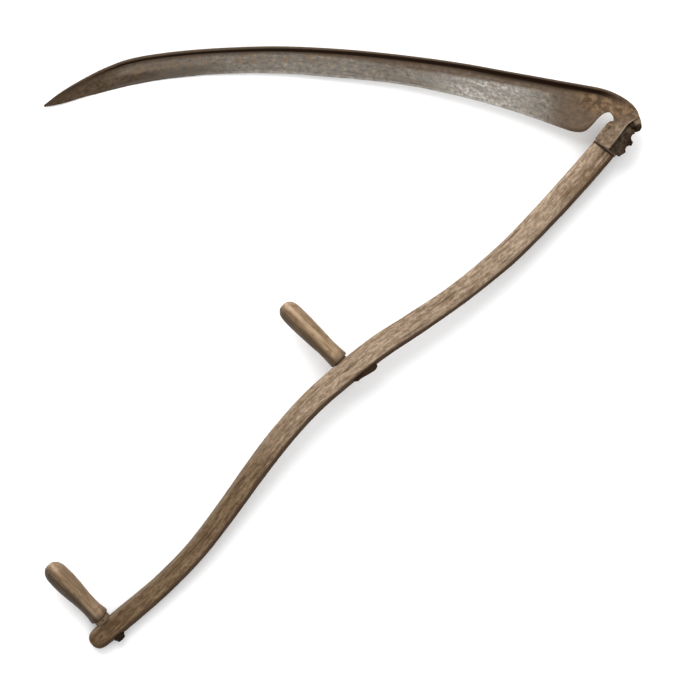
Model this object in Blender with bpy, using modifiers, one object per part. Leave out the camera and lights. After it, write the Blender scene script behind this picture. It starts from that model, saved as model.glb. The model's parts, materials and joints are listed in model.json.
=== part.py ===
"""A two-handed scythe lying on the ground, made as its real pieces.

A bent ash pole (the snath) carries two turned hand grips (the nibs) on iron rods.  Its lower
end sits in an iron socket with a toothed plate on top, and the forged blade is held there by
one bolt through its tang, round which it swings when the nut is slack.

The scythe lies as seen from above: +Z is up, the ground is z = 0, the blade lies along -X from
its heel, and the pole runs down to the lower left.  Lengths in the tables are millimetres.
"""
import math

import bmesh
import bpy
from mathutils import Matrix, Vector

MM = 0.001
GAP = 0.3                      # clearance between touching pieces

# Pole: centre line as (x, y, width), from the butt to the socket.
POLE_STATIONS = [
    (-376.4, -447.3, 32.4),
    (-329.5, -408.0, 34.4),
    (-268.0, -355.0, 32.5),
    (-218.0, -303.0, 32.5),
    (-173.5, -245.0, 33.5),
    (-131.0, -186.0, 35.0),
    (-86.0, -128.0, 36.0),
    (-35.0, -73.5, 36.5),
    (46.5, -6.5, 37.5),
    (107.5, 34.0, 36.0),
    (168.0, 75.0, 34.5),
    (224.5, 120.0, 35.5),
    (264.5, 156.5, 36.5),
    (314.5, 208.5, 38.0),
    (362.5, 262.0, 38.5),
    (391.6, 295.6, 38.5),
]
POLE_THICKNESS = 0.78          # of its width
POLE_ARCH = 22.0               # how far the middle stands above a straight pole
POLE_BUTT_HEIGHT = 13.8
POLE_SQUARENESS = 3.4          # power of the rounded-square section
POLE_SIDES = 16
POLE_STEPS = 4                 # rings to each station
BUTT_ROUNDING = 16.0
BUTT_END_SHARE = 0.18          # width of the flat end, as a share of the pole's

# Heel: a local frame at the socket's mouth; "along" runs up the pole, "across" to its right.
HEEL_MOUTH = Vector((378.3, 310.0))
HEEL_ALONG = Vector((0.699, 0.715)).normalized()
HEEL_ACROSS = Vector((HEEL_ALONG.y, -HEEL_ALONG.x))
SOCKET_WIDTH = 39.0
SOCKET_HEIGHT = 30.6
SOCKET_LENGTH = 33.0
SOCKET_WALL = 2.0
SOCKET_BOTTOM = 9.7
SOCKET_MOUTH_SLANT = 0.12      # the mouth is cut this much out of square
TENON_LENGTH = 30.0

PIVOT_ALONG = 23.2
PIVOT_ACROSS = 9.8
BOLT_RADIUS = 4.0
BOLT_HEAD_RADIUS = 5.0
NUT_HALF_WIDTH = 7.0
NUT_THICKNESS = 5.6
WASHER_RADIUS = 9.0
WASHER_THICKNESS = 1.8
RUNNING_GAP = 0.25             # round a shank that something turns on

RIVET_RADIUS = 2.0
RIVET_LENGTH = 12.6
RIVET_DEPTH = 12.0             # from a cheek of the socket to the rivet's inner end
RIVET_HEIGHT = 0.36            # of the socket's height
RIVETS = [("heel_rivet_left", 9.0, -1), ("heel_rivet_right", 11.0, 1)]

PLATE_BOTTOM = SOCKET_BOTTOM + SOCKET_HEIGHT + GAP
PLATE_THICKNESS = 4.5
TOOTH_RADIUS = 36.3
NOTCH_RADIUS = 6.4
NOTCH_OFFSET = 1.6             # notch centres outside the tooth circle
NOTCH_PITCH = 30.0
NOTCH_ANGLES = [19.0 - NOTCH_PITCH * i for i in range(3)]
# The plate's left side as (along, across) in the heel's frame.
PLATE_LEFT = [(3.0, -1.8), (14.0, -2.8), (22.0, -3.7), (29.0, -4.2), (34.0, -3.8), (37.5, -2.2),
              (40.5, 0.6), (44.0, 3.0)]

SCREW_HEAD_RADIUS = 2.6
SCREW_SHANK_RADIUS = 1.6
SCREW_DEPTH = 10.0             # below the underside of the plate
SCREWS = {"plate_screw_left": (7.0, 9.0), "plate_screw_right": (11.0, 30.0)}

# Blade: pairs of points on its back and its edge, as (back x, y, z, edge x, y, z), from the
# point to the end of the tang; z is the middle of the steel.
BLADE_STATIONS = [
    (-449.4, 363.8, 3.2, -448.8, 360.9, 2.8),
    (-423.0, 383.6, 5.5, -423.0, 365.7, 1.8),
    (-387.0, 404.7, 8.0, -387.0, 376.4, 1.1),
    (-351.0, 422.0, 10.4, -351.0, 385.7, 0.5),
    (-315.0, 434.0, 12.4, -315.0, 394.4, 0.5),
    (-261.0, 442.6, 15.0, -261.0, 403.8, 1.5),
    (-189.0, 448.7, 18.0, -189.0, 410.2, 3.6),
    (-99.0, 451.3, 22.0, -99.0, 411.2, 7.0),
    (-9.0, 447.4, 26.5, -9.0, 404.9, 11.0),
    (81.0, 438.7, 31.5, 81.0, 395.3, 15.8),
    (171.0, 426.5, 37.0, 171.0, 377.5, 21.0),
    (252.0, 411.8, 42.5, 252.0, 355.0, 26.5),
    (304.5, 402.2, 46.0, 304.5, 336.9, 30.5),
    (328.0, 397.8, 47.5, 327.0, 328.8, 32.5),
    (350.0, 394.0, 48.5, 346.5, 322.6, 34.5),
    (367.0, 390.9, 49.2, 361.6, 322.6, 36.0),
    (384.0, 387.7, 49.6, 372.4, 330.2, 39.6),
    (400.0, 382.9, 49.8, 381.3, 340.4, 43.6),
    (414.2, 376.4, 49.8, 390.4, 348.5, 47.2),
    (427.1, 368.5, 49.5, 398.7, 351.1, 48.5),
    (438.0, 358.2, 49.2, 403.0, 348.0, 48.8),
    (443.6, 346.0, 49.0, 405.4, 343.6, 48.8),
    (437.0, 339.8, 48.8, 405.6, 338.0, 48.8),
    (427.0, 332.6, 48.8, 404.4, 331.2, 48.8),
    (419.4, 322.6, 48.8, 398.2, 323.2, 48.8),
    (410.6, 310.6, 48.8, 391.6, 315.0, 48.8),
    (398.6, 296.0, 48.8, 383.4, 305.2, 48.8),
]
BLADE_STEPS = 3
NECK_START = 16                # station where the web starts to thicken into the tang
NECK_END = 21
WEB_THICKNESS = 2.2
EDGE_THICKNESS = 0.7
TANG_MIDDLE = 48.8
TANG_THICKNESS = 6.0
BEAD_WIDTH = 8.0               # rounded back of the blade
BEAD_HEIGHT = 5.2
HOOK_OUTER_RADII = (46.6, 51.2)   # from the pivot, at its tip and where it leaves the back
HOOK_INNER_RADIUS = 38.4
HOOK_LIP_RADIUS = 30.5
HOOK_ANGLES = (3.0, 33.0)
HOOK_TIP_ROUNDING = 9.0        # degrees
HOOK_STEPS = 12
HOOK_BOTTOM = 35.6
HOOK_LIP_TOP = 39.9

# Nibs: where the rod crosses the pole's centre, the direction outwards and the grip's shape.
NIBS = {
    "upper_nib": {
        "centre": (10.2, -34.8), "lift": 0.0, "heading": 135.5, "elevation": 1.5,
        "seat": 20.0, "collar_start": 16.2, "collar_radius": 11.5, "end": 139.6, "head": 15.7,
        "swell": 16.9, "waist": 14.5, "base": 15.6, "rod_back": 21.6,
    },
    "lower_nib": {
        "centre": (-347.6, -422.4), "lift": 1.5, "heading": 134.2, "elevation": 12.0,
        "seat": 23.5, "collar_start": 15.0, "collar_radius": 12.6, "end": 136.0, "head": 16.6,
        "swell": 17.8, "waist": 13.9, "base": 15.8, "rod_back": 24.2,
    },
}
ROD_RADIUS = 4.0
ROD_REACH = 0.72               # of the grip's length
LOWER_NIB_SEAT = 19.6          # from the pole's centre to the outside of the seat washer
LOWER_NUT_THICKNESS = 4.0
LOWER_NUT_HALF_WIDTH = 5.7

# The wedge behind the upper nib, as (distance up the pole, thickness, half its height).
KEEPER_SECTIONS = [
    (-6.0, 1.0, 5.0),
    (-2.0, 2.4, 7.5),
    (8.0, 4.0, 9.0),
    (20.0, 6.4, 9.5),
    (30.0, 7.7, 8.5),
    (33.8, 6.6, 6.8),
    (35.4, 4.2, 4.6),
]
KEEPER_SEAT = 19.0             # from the pole's centre to its side
KEEPER_LEAN = 0.04             # the pole's side turns away from the nib's own square

COLOURS = {
    "ash": ((0.36, 0.26, 0.17, 1.0), 0.75, 0.0),
    "grip_wood": ((0.38, 0.27, 0.17, 1.0), 0.55, 0.0),
    "blade_steel": ((0.20, 0.16, 0.13, 1.0), 0.55, 0.85),
    "iron": ((0.10, 0.07, 0.05, 1.0), 0.7, 0.8),
    "bolt_iron": ((0.16, 0.12, 0.09, 1.0), 0.6, 0.85),
}


def clear_scene():
    for old in list(bpy.data.objects):
        bpy.data.objects.remove(old, do_unlink=True)


def make_collection(name):
    found = bpy.data.collections.new(name)
    bpy.context.scene.collection.children.link(found)
    return found


def make_material(name):
    colour, roughness, metallic = COLOURS[name]
    material = bpy.data.materials.new(name)
    material.use_nodes = True
    shader = material.node_tree.nodes["Principled BSDF"]
    shader.inputs["Base Color"].default_value = colour
    shader.inputs["Roughness"].default_value = roughness
    shader.inputs["Metallic"].default_value = metallic
    return material


def new_object(name, build, material=None):
    """Make a mesh object in millimetre units from a filled bmesh."""
    bmesh.ops.scale(build, vec=Vector((MM, MM, MM)), verts=build.verts)
    bmesh.ops.recalc_face_normals(build, faces=build.faces)
    mesh = bpy.data.meshes.new(name)
    build.to_mesh(mesh)
    build.free()
    piece = bpy.data.objects.new(name, mesh)
    if material:
        mesh.materials.append(MATERIALS[material])
        PARTS.objects.link(piece)
        mesh.shade_smooth()
        mesh.set_sharp_from_angle(angle=math.radians(35))
    else:
        CUTTERS.objects.link(piece)
        piece.hide_render = True
        piece.display_type = "WIRE"
    return piece


def loft(name, rings, material=None):
    """Skin a closed body over rings of equal point counts."""
    build = bmesh.new()
    rows = [[build.verts.new(point) for point in ring] for ring in rings]
    count = len(rows[0])
    for low, high in zip(rows, rows[1:]):
        for i in range(count):
            j = (i + 1) % count
            build.faces.new((low[i], low[j], high[j], high[i]))
    build.faces.new(rows[0])
    build.faces.new(rows[-1])
    return new_object(name, build, material)


def prism(name, outline, bottom, top, material=None):
    """Stand an outline up between two heights."""
    rings = [[Vector((x, y, z)) for x, y in outline] for z in (bottom, top)]
    return loft(name, rings, material)


def axis_matrix(start, direction):
    """A frame whose z axis runs from start along direction."""
    return Matrix.Translation(start) @ direction.to_track_quat("Z", "X").to_matrix().to_4x4()


def cylinder(name, start, direction, length, radius, material=None, segments=32):
    build = bmesh.new()
    bmesh.ops.create_cone(
        build, cap_ends=True, segments=segments, radius1=radius, radius2=radius, depth=length)
    bmesh.ops.translate(build, vec=Vector((0, 0, length / 2)), verts=build.verts)
    bmesh.ops.transform(build, matrix=axis_matrix(start, direction.normalized()), verts=build.verts)
    return new_object(name, build, material)


def turned(name, profile, start, direction, material, segments=32):
    """Turn a profile of (radius, height) round a line with a Screw modifier."""
    build = bmesh.new()
    points = [build.verts.new((radius, 0, height)) for radius, height in profile]
    for low, high in zip(points, points[1:]):
        build.edges.new((low, high))
    if profile[0][0] > 0:
        build.edges.new((points[-1], points[0]))
    bmesh.ops.scale(build, vec=Vector((MM, MM, MM)), verts=build.verts)
    mesh = bpy.data.meshes.new(name)
    build.to_mesh(mesh)
    build.free()
    mesh.materials.append(MATERIALS[material])
    piece = bpy.data.objects.new(name, mesh)
    PARTS.objects.link(piece)
    piece.matrix_world = axis_matrix(start * MM, direction.normalized())
    screw = piece.modifiers.new("turn", "SCREW")
    screw.steps = segments
    screw.render_steps = segments
    screw.use_merge_vertices = True
    screw.merge_threshold = 0.00001
    screw.use_smooth_shade = True
    return piece


def combine(piece, other, operation):
    change = piece.modifiers.new(operation.lower(), "BOOLEAN")
    change.operation = operation
    change.object = other
    change.solver = "EXACT"
    return piece


def cut(piece, *cutters):
    for cutter in cutters:
        combine(piece, cutter, "DIFFERENCE")
    return piece


def smooth_rows(rows, steps):
    """Pass a Catmull-Rom curve through rows of numbers, keeping every row."""
    padded = [Vector(row) for row in rows]
    padded = [2 * padded[0] - padded[1]] + padded + [2 * padded[-1] - padded[-2]]
    result = []
    for a, b, c, d in zip(padded, padded[1:], padded[2:], padded[3:]):
        for step in range(steps):
            t = step / steps
            result.append(0.5 * (2 * b + (c - a) * t + (2 * a - 5 * b + 4 * c - d) * t * t
                                 + (3 * b - a - 3 * c + d) * t ** 3))
    result.append(padded[-2])
    return result


def heel_point(along, across, height):
    spot = HEEL_MOUTH + HEEL_ALONG * along + HEEL_ACROSS * across
    return Vector((spot.x, spot.y, height))


def polar(angle, radius):
    """A point in plan at an angle and radius from the blade's pivot."""
    turn = math.radians(angle)
    return PIVOT.x + radius * math.cos(turn), PIVOT.y + radius * math.sin(turn)


def arc(start, end, radius, step=4.0):
    count = max(2, round(abs(end - start) / step))
    return [polar(start + (end - start) * i / count, radius) for i in range(count + 1)]


# Pole ------------------------------------------------------------------------------------------

def pole_height(part):
    """Height of the pole's centre line, where part runs from 0 at the butt to 1."""
    rise = part * part * (3 - 2 * part)
    end_height = SOCKET_BOTTOM + SOCKET_HEIGHT / 2
    return (POLE_BUTT_HEIGHT + (end_height - POLE_BUTT_HEIGHT) * rise
            + POLE_ARCH * math.sin(math.pi * part) ** 2)


def section_ring(centre, side, up, half_width, half_height):
    ring = []
    for i in range(POLE_SIDES):
        turn = 2 * math.pi * (i + 0.5) / POLE_SIDES
        c, s = math.cos(turn), math.sin(turn)
        u = math.copysign(abs(c) ** (2 / POLE_SQUARENESS), c) * half_width
        v = math.copysign(abs(s) ** (2 / POLE_SQUARENESS), s) * half_height
        ring.append(centre + side * u + up * v)
    return ring


def pole_path():
    """Centre points, right-hand and upward directions and widths along the pole."""
    rows = smooth_rows(POLE_STATIONS, POLE_STEPS)
    distances = [0.0]
    for a, b in zip(rows, rows[1:]):
        distances.append(distances[-1] + (b.xy - a.xy).length)
    centres = [Vector((row.x, row.y, pole_height(d / distances[-1])))
               for row, d in zip(rows, distances)]
    path = []
    for i, centre in enumerate(centres):
        tangent = (centres[min(i + 1, len(centres) - 1)] - centres[max(i - 1, 0)]).normalized()
        side = tangent.cross(Vector((0, 0, 1))).normalized()
        path.append((centre, side, side.cross(tangent), rows[i].z, tangent))
    return path


def pole_rings(grow):
    path = pole_path()
    rings = butt_rings(path[0], grow)
    for centre, side, up, width, tangent in path[1:]:
        half = width / 2 + grow
        rings.append(section_ring(centre, side, up, half, width / 2 * POLE_THICKNESS + grow))
    return rings


def butt_rings(first, grow):
    """Round the pole's free end over with a few shrinking rings."""
    centre, side, up, width, tangent = first
    rings = []
    for turn in (0.0, 25.0, 50.0, 75.0):
        shrink = BUTT_END_SHARE + (1 - BUTT_END_SHARE) * math.sin(math.radians(turn))
        back = BUTT_ROUNDING * (1 - math.cos(math.radians(turn)))
        half = width / 2 * shrink + grow
        rings.append(section_ring(centre + tangent * back, side, up, half, half * POLE_THICKNESS))
    return rings


def heel_ring(along, half_width, half_height, slant):
    """A section square to the heel's frame, its plane leant by slant."""
    centre = heel_point(along, SOCKET_WIDTH / 2, SOCKET_BOTTOM + SOCKET_HEIGHT / 2)
    side = HEEL_ACROSS.to_3d()
    ring = section_ring(centre, side, Vector((0, 0, 1)), half_width, half_height)
    return [p + HEEL_ALONG.to_3d() * (p - centre).dot(side) * slant for p in ring]


def make_snath():
    """The pole, its end stepped down to a tenon that fills the socket."""
    rings = pole_rings(0)[:-1]
    full_width = POLE_STATIONS[-1][2] / 2
    inset = SOCKET_WALL + GAP
    rings.append(heel_ring(-GAP - 0.3, full_width, full_width * POLE_THICKNESS,
                           SOCKET_MOUTH_SLANT))
    for along, slant in ((-GAP, SOCKET_MOUTH_SLANT), (TENON_LENGTH, 0.0)):
        rings.append(heel_ring(along, SOCKET_WIDTH / 2 - inset, SOCKET_HEIGHT / 2 - inset, slant))
    snath = loft("snath", rings, "ash")
    return cut(snath, BOLT_HOLE, *RIVET_HOLES, *SCREW_HOLES, *ROD_HOLES.values())


def pole_clearance():
    """The pole, grown by the gap, for cutting seats that hug it."""
    return loft("pole_clearance", pole_rings(GAP))


# Socket, toothed plate and the blade's bolt ------------------------------------------------------

def bolt_hole():
    return cylinder("bolt_hole", Vector((PIVOT.x, PIVOT.y, -5)), Vector((0, 0, 1)), 70,
                    BOLT_RADIUS + RUNNING_GAP)


def socket_ring(along, inset, slant):
    return heel_ring(along, SOCKET_WIDTH / 2 - inset, SOCKET_HEIGHT / 2 - inset, slant)


def make_heel_socket():
    outer = [
        socket_ring(0, 0, SOCKET_MOUTH_SLANT),
        socket_ring(SOCKET_LENGTH - 5, 0, 0),
        socket_ring(SOCKET_LENGTH - 1.5, 1.2, 0),
        socket_ring(SOCKET_LENGTH, 4.0, 0),
    ]
    socket = loft("heel_socket", outer, "iron")
    hollow = loft("socket_hollow", [
        socket_ring(-4, SOCKET_WALL, SOCKET_MOUTH_SLANT),
        socket_ring(TENON_LENGTH + GAP, SOCKET_WALL, 0),
    ])
    return cut(socket, hollow, BOLT_HOLE, *RIVET_HOLES, *SCREW_HOLES)


def rivet_line(along, side):
    """A point in the middle of the socket and the way out through one cheek."""
    start = heel_point(along, SOCKET_WIDTH / 2, SOCKET_BOTTOM + SOCKET_HEIGHT * RIVET_HEIGHT)
    return start, HEEL_ACROSS.to_3d() * side


def rivet_holes():
    holes = []
    for name, along, side in RIVETS:
        start, out = rivet_line(along, side)
        holes.append(cylinder(name + "_hole", start, out, SOCKET_WIDTH, RIVET_RADIUS + GAP,
                              segments=20))
    return holes


def make_rivets():
    """Two short nails through the socket's cheeks into the pole."""
    profile = [(0.0, RIVET_LENGTH), (RIVET_RADIUS - 0.8, RIVET_LENGTH - 0.1),
               (RIVET_RADIUS, RIVET_LENGTH - 0.8), (RIVET_RADIUS, 1.0), (0.0, 0.0)]
    for name, along, side in RIVETS:
        start, out = rivet_line(along, side)
        turned(name, profile, start + out * (SOCKET_WIDTH / 2 - RIVET_DEPTH), out, "bolt_iron", 20)


def plate_outline():
    """The toothed plate: a sector about the bolt, squared off under the tang."""
    corners = [(1.6, -0.6), (6.8, SOCKET_WIDTH + 3.8), (8.2, SOCKET_WIDTH + 4.9)]
    outline = [heel_point(*corner, 0).xy for corner in corners]
    outline += arc(-64.0, 38.0, TOOTH_RADIUS)
    outline += [heel_point(*corner, 0).xy for corner in [(50.0, 9.0), *reversed(PLATE_LEFT)]]
    return outline


def make_heel_plate():
    plate = prism("heel_plate", plate_outline(), PLATE_BOTTOM, PLATE_BOTTOM + PLATE_THICKNESS,
                  "iron")
    notches = []
    for i, angle in enumerate(NOTCH_ANGLES):
        x, y = polar(angle, TOOTH_RADIUS + NOTCH_OFFSET)
        notches.append(cylinder("notch_%d" % i, Vector((x, y, 30)), Vector((0, 0, 1)), 30,
                                NOTCH_RADIUS, segments=24))
    return cut(plate, BOLT_HOLE, *notches, *SCREW_HOLES)


def screw_hole(name, place):
    start = heel_point(*place, PLATE_BOTTOM - SCREW_DEPTH - 2)
    return cylinder(name + "_hole", start, Vector((0, 0, 1)), 24, SCREW_HEAD_RADIUS + GAP,
                    segments=20)


def make_screws():
    """Two flush wood screws that hold the plate down on the socket and the pole."""
    top = SCREW_DEPTH + PLATE_THICKNESS
    profile = [(0.0, top - 0.4), (SCREW_HEAD_RADIUS, top - 0.4), (SCREW_HEAD_RADIUS, top - 2.0),
               (SCREW_SHANK_RADIUS, top - 3.0), (SCREW_SHANK_RADIUS, 2.0), (0.0, 0.0)]
    for name, place in SCREWS.items():
        start = heel_point(*place, PLATE_BOTTOM - SCREW_DEPTH)
        turned(name, profile, start, Vector((0, 0, 1)), "bolt_iron", 20)


def make_pivot():
    """The bolt through the tang with its washer and square nut under the socket."""
    top = TANG_MIDDLE + TANG_THICKNESS / 2 + GAP
    profile = [(0.0, top + 1.3), (3.0, top + 1.1), (BOLT_HEAD_RADIUS, top + 0.4),
               (BOLT_HEAD_RADIUS, top), (BOLT_RADIUS, top), (BOLT_RADIUS, 1.0),
               (BOLT_RADIUS - 1.0, 0.0), (0.0, 0.0)]
    up = Vector((0, 0, 1))
    base = Vector((PIVOT.x, PIVOT.y, 0))
    turned("pivot_bolt", profile, base, up, "bolt_iron")
    washer_bottom = SOCKET_BOTTOM - GAP - WASHER_THICKNESS
    washer = cylinder("pivot_washer", base + up * washer_bottom, up, WASHER_THICKNESS,
                      WASHER_RADIUS, "bolt_iron")
    cut(washer, BOLT_HOLE)
    nut = square_nut("pivot_nut", base + up * (washer_bottom - GAP - NUT_THICKNESS), up,
                     NUT_HALF_WIDTH, NUT_THICKNESS, 20.0)
    cut(nut, BOLT_HOLE)


def square_nut(name, start, direction, half_width, thickness, turn):
    build = bmesh.new()
    bmesh.ops.create_cube(build, size=1.0)
    size = Vector((2 * half_width, 2 * half_width, thickness))
    bmesh.ops.scale(build, vec=size, verts=build.verts)
    bmesh.ops.translate(build, vec=Vector((0, 0, thickness / 2)), verts=build.verts)
    bmesh.ops.bevel(build, geom=build.edges, offset=0.9, segments=2, affect="EDGES")
    place = axis_matrix(start, direction) @ Matrix.Rotation(math.radians(turn), 4, "Z")
    bmesh.ops.transform(build, matrix=place, verts=build.verts)
    return new_object(name, build, "bolt_iron")


# Blade -----------------------------------------------------------------------------------------

def blade_ring(row, part):
    """One section of the blade; part is its place in stations."""
    back = Vector(row[0:3])
    edge = Vector(row[3:6])
    across = back - edge
    width = across.length
    neck = min(max((part - NECK_START) / (NECK_END - NECK_START), 0.0), 1.0)
    neck = neck * neck * (3 - 2 * neck)
    taper = min(part / 4.0, 1.0)
    half_web = WEB_THICKNESS / 2 * (0.55 + 0.45 * taper)
    half = half_web + (TANG_THICKNESS / 2 - half_web) * neck
    half_edge = EDGE_THICKNESS / 2 + (TANG_THICKNESS - EDGE_THICKNESS) / 2 * neck
    bead = BEAD_HEIGHT * (0.25 + 0.75 * taper) * (1 - neck)
    bead_part = min(BEAD_WIDTH / width, 0.45)
    upper = [(0.0, half_edge), (0.16, half), (0.5, half), (1 - bead_part, half),
             (1 - 0.62 * bead_part, half + 0.8 * bead), (1 - 0.3 * bead_part, half + bead),
             (1.0, half + 0.5 * bead)]
    lower = [(1.0, -half), (0.5, -half), (0.16, -half), (0.0, -half_edge)]
    return [edge + across * v + Vector((0, 0, h)) for v, h in upper + lower]


def hook_rings():
    """The hook's L section, swept round the pivot: a nose outside the teeth, a lip below."""
    top = TANG_MIDDLE + 1.8
    start, end = HOOK_ANGLES
    low, high = HOOK_OUTER_RADII
    rings = []
    for i in range(HOOK_STEPS + 1):
        part = i / HOOK_STEPS
        angle = start + (end - start) * part
        rounding = min((angle - start) / HOOK_TIP_ROUNDING, 1.0)
        full = low + (high - low) * part
        outer = HOOK_INNER_RADIUS + (full - HOOK_INNER_RADIUS) * (0.3 + 0.7 * rounding ** 0.5)
        section = [(outer, top), (outer, HOOK_BOTTOM), (HOOK_LIP_RADIUS, HOOK_BOTTOM),
                   (HOOK_LIP_RADIUS, HOOK_LIP_TOP), (HOOK_INNER_RADIUS, HOOK_LIP_TOP),
                   (HOOK_INNER_RADIUS, top)]
        rings.append([Vector((*polar(angle, radius), height)) for radius, height in section])
    return rings


def make_blade():
    rows = smooth_rows(BLADE_STATIONS, BLADE_STEPS)
    rings = [blade_ring(row, i / BLADE_STEPS) for i, row in enumerate(rows)]
    blade = loft("blade", rings, "blade_steel")
    combine(blade, loft("hook", hook_rings()), "UNION")
    return cut(blade, BOLT_HOLE)


# Nibs ------------------------------------------------------------------------------------------

def nib_line(name):
    """Centre of the pole at a nib and the nib's direction outwards."""
    nib = NIBS[name]
    x, y = nib["centre"]
    path = pole_path()
    nearest = min(path, key=lambda step: (step[0].xy - Vector((x, y))).length)
    centre = Vector((x, y, nearest[0].z + nib["lift"]))
    heading = math.radians(nib["heading"])
    elevation = math.radians(nib["elevation"])
    flat = math.cos(elevation)
    return centre, Vector((flat * math.cos(heading), flat * math.sin(heading),
                           math.sin(elevation)))


def rod_hole(name):
    centre, out = nib_line(name)
    return cylinder(name + "_rod_hole", centre - out * 40, out, 80, ROD_RADIUS + RUNNING_GAP,
                    segments=24)


def make_grip(name):
    """A turned grip: round head, slim waist, slight flare, and a blind hole for the rod."""
    nib = NIBS[name]
    centre, out = nib_line(name)
    start = nib["seat"] + GAP
    length = nib["end"] - start
    profile = [(0.0, length)]
    head = nib["head"]
    for turn in (15, 30, 45, 60, 75):
        profile.append((head * 0.97 * math.sin(math.radians(turn)),
                        length - head * 0.8 * (1 - math.cos(math.radians(turn)))))
    swell, waist, base = nib["swell"], nib["waist"], nib["base"]
    spots = [(swell * 0.965, 0.86), (swell, 0.75), (swell * 0.99, 0.63),
             (waist + 0.6 * (swell - waist), 0.48), (waist + 0.5, 0.33), (waist, 0.22),
             (waist + 0.35, 0.12)]
    profile += [(radius, length * part) for radius, part in spots]
    profile += [(base, 3.0), (base - 0.5, 1.0), (base - 2.8, 0.0), (ROD_RADIUS + RUNNING_GAP, 0.0),
                (ROD_RADIUS + RUNNING_GAP, length * ROD_REACH), (0.0, length * ROD_REACH + 1.0)]
    turned(name + "_grip", profile, centre + out * start, out, "grip_wood")


def make_collar(name):
    """The iron collar between grip and pole, its back hollowed to sit on the pole."""
    nib = NIBS[name]
    centre, out = nib_line(name)
    length = nib["seat"] - nib["collar_start"]
    collar = cylinder(name + "_collar", centre + out * nib["collar_start"], out, length,
                      nib["collar_radius"], "iron")
    return cut(collar, CLEARANCE, ROD_HOLES[name])


def make_rod(name):
    nib = NIBS[name]
    centre, out = nib_line(name)
    back_reach = nib["rod_back"]
    grip_start = nib["seat"] + GAP
    front = grip_start + (nib["end"] - grip_start) * ROD_REACH - 1.0
    cylinder(name + "_rod", centre - out * back_reach, out, front + back_reach, ROD_RADIUS,
             "bolt_iron", segments=24)


def make_keeper():
    """The tapped iron wedge behind the upper nib, thick end up the pole."""
    centre, out = nib_line("upper_nib")
    up_pole = Vector((-out.y, out.x, 0)).normalized() * -1
    rings = []
    for along, thick, half_height in KEEPER_SECTIONS:
        middle = centre + up_pole * along
        surface = KEEPER_SEAT + KEEPER_LEAN * along
        ring = []
        for depth, height in ((4.0, -0.9), (-thick, -0.62), (-thick - 0.8, 0.0), (-thick, 0.62),
                              (4.0, 0.9)):
            spot = middle + out * (depth - surface) + Vector((0, 0, height * half_height))
            ring.append(spot)
        rings.append(ring)
    keeper = loft("upper_nib_keeper", rings, "iron")
    return cut(keeper, CLEARANCE, ROD_HOLES["upper_nib"])


def make_lower_fastening():
    """The seat washer and the square nut on the back of the lower nib's rod."""
    centre, out = nib_line("lower_nib")
    washer = cylinder("lower_nib_washer", centre - out * LOWER_NIB_SEAT, out, 8.0,
                      WASHER_RADIUS, "bolt_iron")
    cut(washer, CLEARANCE, ROD_HOLES["lower_nib"])
    start = centre - out * (LOWER_NIB_SEAT + GAP + LOWER_NUT_THICKNESS)
    nut = square_nut("lower_nib_nut", start, out, LOWER_NUT_HALF_WIDTH, LOWER_NUT_THICKNESS, 38.0)
    cut(nut, ROD_HOLES["lower_nib"])


PIVOT = heel_point(PIVOT_ALONG, PIVOT_ACROSS, 0)

clear_scene()
PARTS = make_collection("scythe")
CUTTERS = make_collection("cutters")
MATERIALS = {name: make_material(name) for name in COLOURS}
CLEARANCE = pole_clearance()
BOLT_HOLE = bolt_hole()
RIVET_HOLES = rivet_holes()
SCREW_HOLES = [screw_hole(name, place) for name, place in SCREWS.items()]
ROD_HOLES = {name: rod_hole(name) for name in NIBS}

make_snath()
make_heel_socket()
make_rivets()
make_heel_plate()
make_screws()
make_pivot()
make_blade()
for nib_name in NIBS:
    make_grip(nib_name)
    make_collar(nib_name)
    make_rod(nib_name)
make_keeper()
make_lower_fastening()
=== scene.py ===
import json
import math

import bpy
import numpy as np
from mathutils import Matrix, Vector, noise
from mathutils.bvhtree import BVHTree


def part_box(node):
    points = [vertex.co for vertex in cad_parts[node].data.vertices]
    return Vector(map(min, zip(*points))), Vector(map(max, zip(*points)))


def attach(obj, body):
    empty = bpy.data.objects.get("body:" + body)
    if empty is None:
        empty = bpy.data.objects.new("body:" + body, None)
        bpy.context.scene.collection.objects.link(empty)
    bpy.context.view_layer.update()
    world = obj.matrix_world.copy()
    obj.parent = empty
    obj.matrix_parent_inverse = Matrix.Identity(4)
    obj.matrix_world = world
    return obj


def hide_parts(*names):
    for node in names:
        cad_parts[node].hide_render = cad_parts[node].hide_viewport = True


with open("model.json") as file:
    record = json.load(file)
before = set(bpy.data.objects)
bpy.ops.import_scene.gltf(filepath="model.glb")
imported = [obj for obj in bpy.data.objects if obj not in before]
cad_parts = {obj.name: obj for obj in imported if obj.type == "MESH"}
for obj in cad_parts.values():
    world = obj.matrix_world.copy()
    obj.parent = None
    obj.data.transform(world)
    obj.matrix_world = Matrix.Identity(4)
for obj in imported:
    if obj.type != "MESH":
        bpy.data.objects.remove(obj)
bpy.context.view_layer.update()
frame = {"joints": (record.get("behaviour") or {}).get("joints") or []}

MM = 0.001
JOINTS = {joint["name"]: joint for joint in frame["joints"]}

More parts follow.
